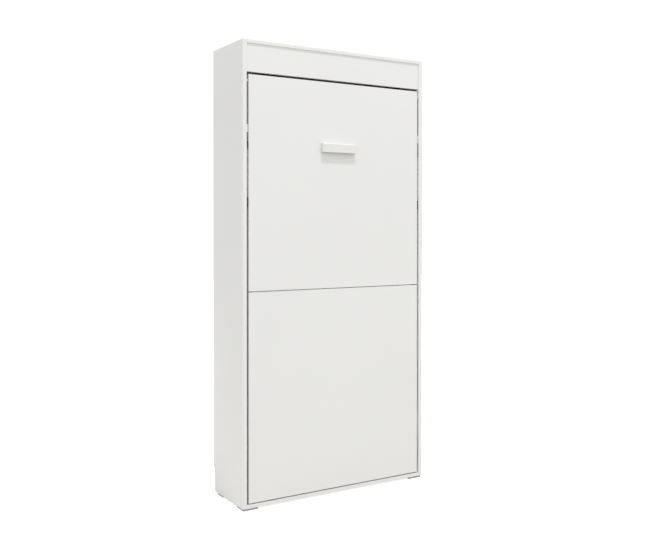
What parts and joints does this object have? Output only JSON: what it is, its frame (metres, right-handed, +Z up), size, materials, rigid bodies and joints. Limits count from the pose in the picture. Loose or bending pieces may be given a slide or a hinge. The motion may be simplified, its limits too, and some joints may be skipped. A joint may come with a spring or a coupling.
{
  "type": "wall bed",
  "caption": "Upright folding wall bed in a shallow white cabinet, with a two-board front, recessed fascia, grip handle, slatted base, mattress, gas springs and swing-down legs.",
  "frame": {"origin": "middle of the footprint at floor level, under the closed bed and its handle", "axes": "+Z up, front with the handle faces -Y, back towards the wall is +Y, +X to the right as seen from the front"},
  "size_m": [1.06, 0.36, 2.23],
  "materials": {
    "white_board": "smooth white laminate with edging strips",
    "back_board": "white faced thin fibreboard",
    "beech": "clear lacquered laminated beech",
    "white_plastic": "moulded satin",
    "grey_plastic": "moulded satin",
    "black_plastic": "moulded satin",
    "bearing_plastic": "turned acetal",
    "handle_paint": "satin white powder coat",
    "leg_paint": "satin white powder coat",
    "zinc_steel": "bright zinc plate",
    "tube_paint": "gloss black paint",
    "rod_chrome": "polished hard chrome",
    "buffer_rubber": "matt",
    "mattress_cover": "quilted knitted cover",
    "webbing": "woven belt webbing"
  },
  "bodies": {
    "cabinet": {"side_panel_left": "white_board", "side_panel_right": "white_board", "top_panel": "white_board", "bottom_panel": "white_board", "fascia": "white_board", "wall_rail_top": "white_board", "wall_rail_bottom": "white_board", "back_panel_lower": "back_board", "back_panel_upper": "back_board", "back_panel_joiner": "white_plastic", "guide_pads": "white_plastic", "top_guide_pads": "white_plastic", "foot_pads_front": "grey_plastic", "foot_pads_rear": "grey_plastic", "pivot_plate_left": "zinc_steel", "pivot_plate_right": "zinc_steel", "pivot_plate_screws": "zinc_steel", "spring_mount_left": "zinc_steel", "spring_mount_right": "zinc_steel", "spring_mount_screws": "zinc_steel", "stop_brackets": "zinc_steel", "cam_locks": "zinc_steel", "stop_buffers": "buffer_rubber"},
    "bed": {"door_lower": "white_board", "door_upper": "white_board", "side_rail_left": "white_board", "side_rail_right": "white_board", "head_rail": "white_board", "foot_rail": "white_board", "door_battens": "white_board", "corner_brackets": "zinc_steel", "handle": "handle_paint", "handle_screws": "zinc_steel", "slat_holders": "grey_plastic", "slats": "beech", "mattress": "mattress_cover", "bedding_straps": "webbing", "strap_buckles": "black_plastic", "strap_plates": "zinc_steel", "pivot_arm_left": "zinc_steel", "pivot_arm_right": "zinc_steel", "pivot_arm_screws": "zinc_steel", "pivot_bushes": "bearing_plastic", "spring_bracket_left": "zinc_steel", "spring_bracket_right": "zinc_steel", "spring_bracket_screws": "zinc_steel", "leg_mount_left": "zinc_steel", "leg_mount_right": "zinc_steel", "leg_mount_screws": "zinc_steel"},
    "leg_left_body": {"leg_left": "leg_paint", "leg_bush_left": "black_plastic", "leg_foot_left": "black_plastic"},
    "spring_cylinder_left_body": {"spring_cylinder_left": "tube_paint"},
    "spring_rod_left_body": {"spring_rod_left": "rod_chrome"},
    "leg_right_body": {"leg_right": "leg_paint", "leg_bush_right": "black_plastic", "leg_foot_right": "black_plastic"},
    "spring_cylinder_right_body": {"spring_cylinder_right": "tube_paint"},
    "spring_rod_right_body": {"spring_rod_right": "rod_chrome"}
  },
  "joints": [
    {"name": "bed_fold", "type": "hinge", "parent": "cabinet", "child": "bed", "pos_m": [0, -0.13, 0.294], "axis": [1, 0, 0], "range_deg": [0, 90]},
    {"name": "leg_swing_left", "type": "hinge", "parent": "bed", "child": "leg_left_body", "pos_m": [-0.503, -0.132, 1.732], "axis": [1, 0, 0], "range_deg": [-90, 0]},
    {"name": "spring_swing_left", "type": "hinge", "parent": "cabinet", "child": "spring_cylinder_left_body", "pos_m": [-0.484, -0.065, 0.745], "axis": [1, 0, 0], "range_deg": [0, 16.52]},
    {"name": "spring_slide_left", "type": "slide", "parent": "spring_cylinder_left_body", "child": "spring_rod_left_body", "axis": [0, 0.0403, 0.9992], "range_m": [0, 0.1966]},
    {"name": "leg_swing_right", "type": "hinge", "parent": "bed", "child": "leg_right_body", "pos_m": [0.503, -0.132, 1.732], "axis": [1, 0, 0], "range_deg": [-90, 0]},
    {"name": "spring_swing_right", "type": "hinge", "parent": "cabinet", "child": "spring_cylinder_right_body", "pos_m": [0.484, -0.065, 0.745], "axis": [1, 0, 0], "range_deg": [0, 16.52]},
    {"name": "spring_slide_right", "type": "slide", "parent": "spring_cylinder_right_body", "child": "spring_rod_right_body", "axis": [0, 0.0403, 0.9992], "range_m": [0, 0.1966]}
  ],
  "couplings": [
    {"joint": "leg_swing_left", "follows": "bed_fold", "ratio": -1},
    {"joint": "spring_swing_left", "follows": "bed_fold", "ratio": 0.18344},
    {"joint": "spring_slide_left", "follows": "bed_fold", "m_per_rad": 0.12513},
    {"joint": "leg_swing_right", "follows": "bed_fold", "ratio": -1},
    {"joint": "spring_swing_right", "follows": "bed_fold", "ratio": 0.18344},
    {"joint": "spring_slide_right", "follows": "bed_fold", "m_per_rad": 0.12513}
  ]
}
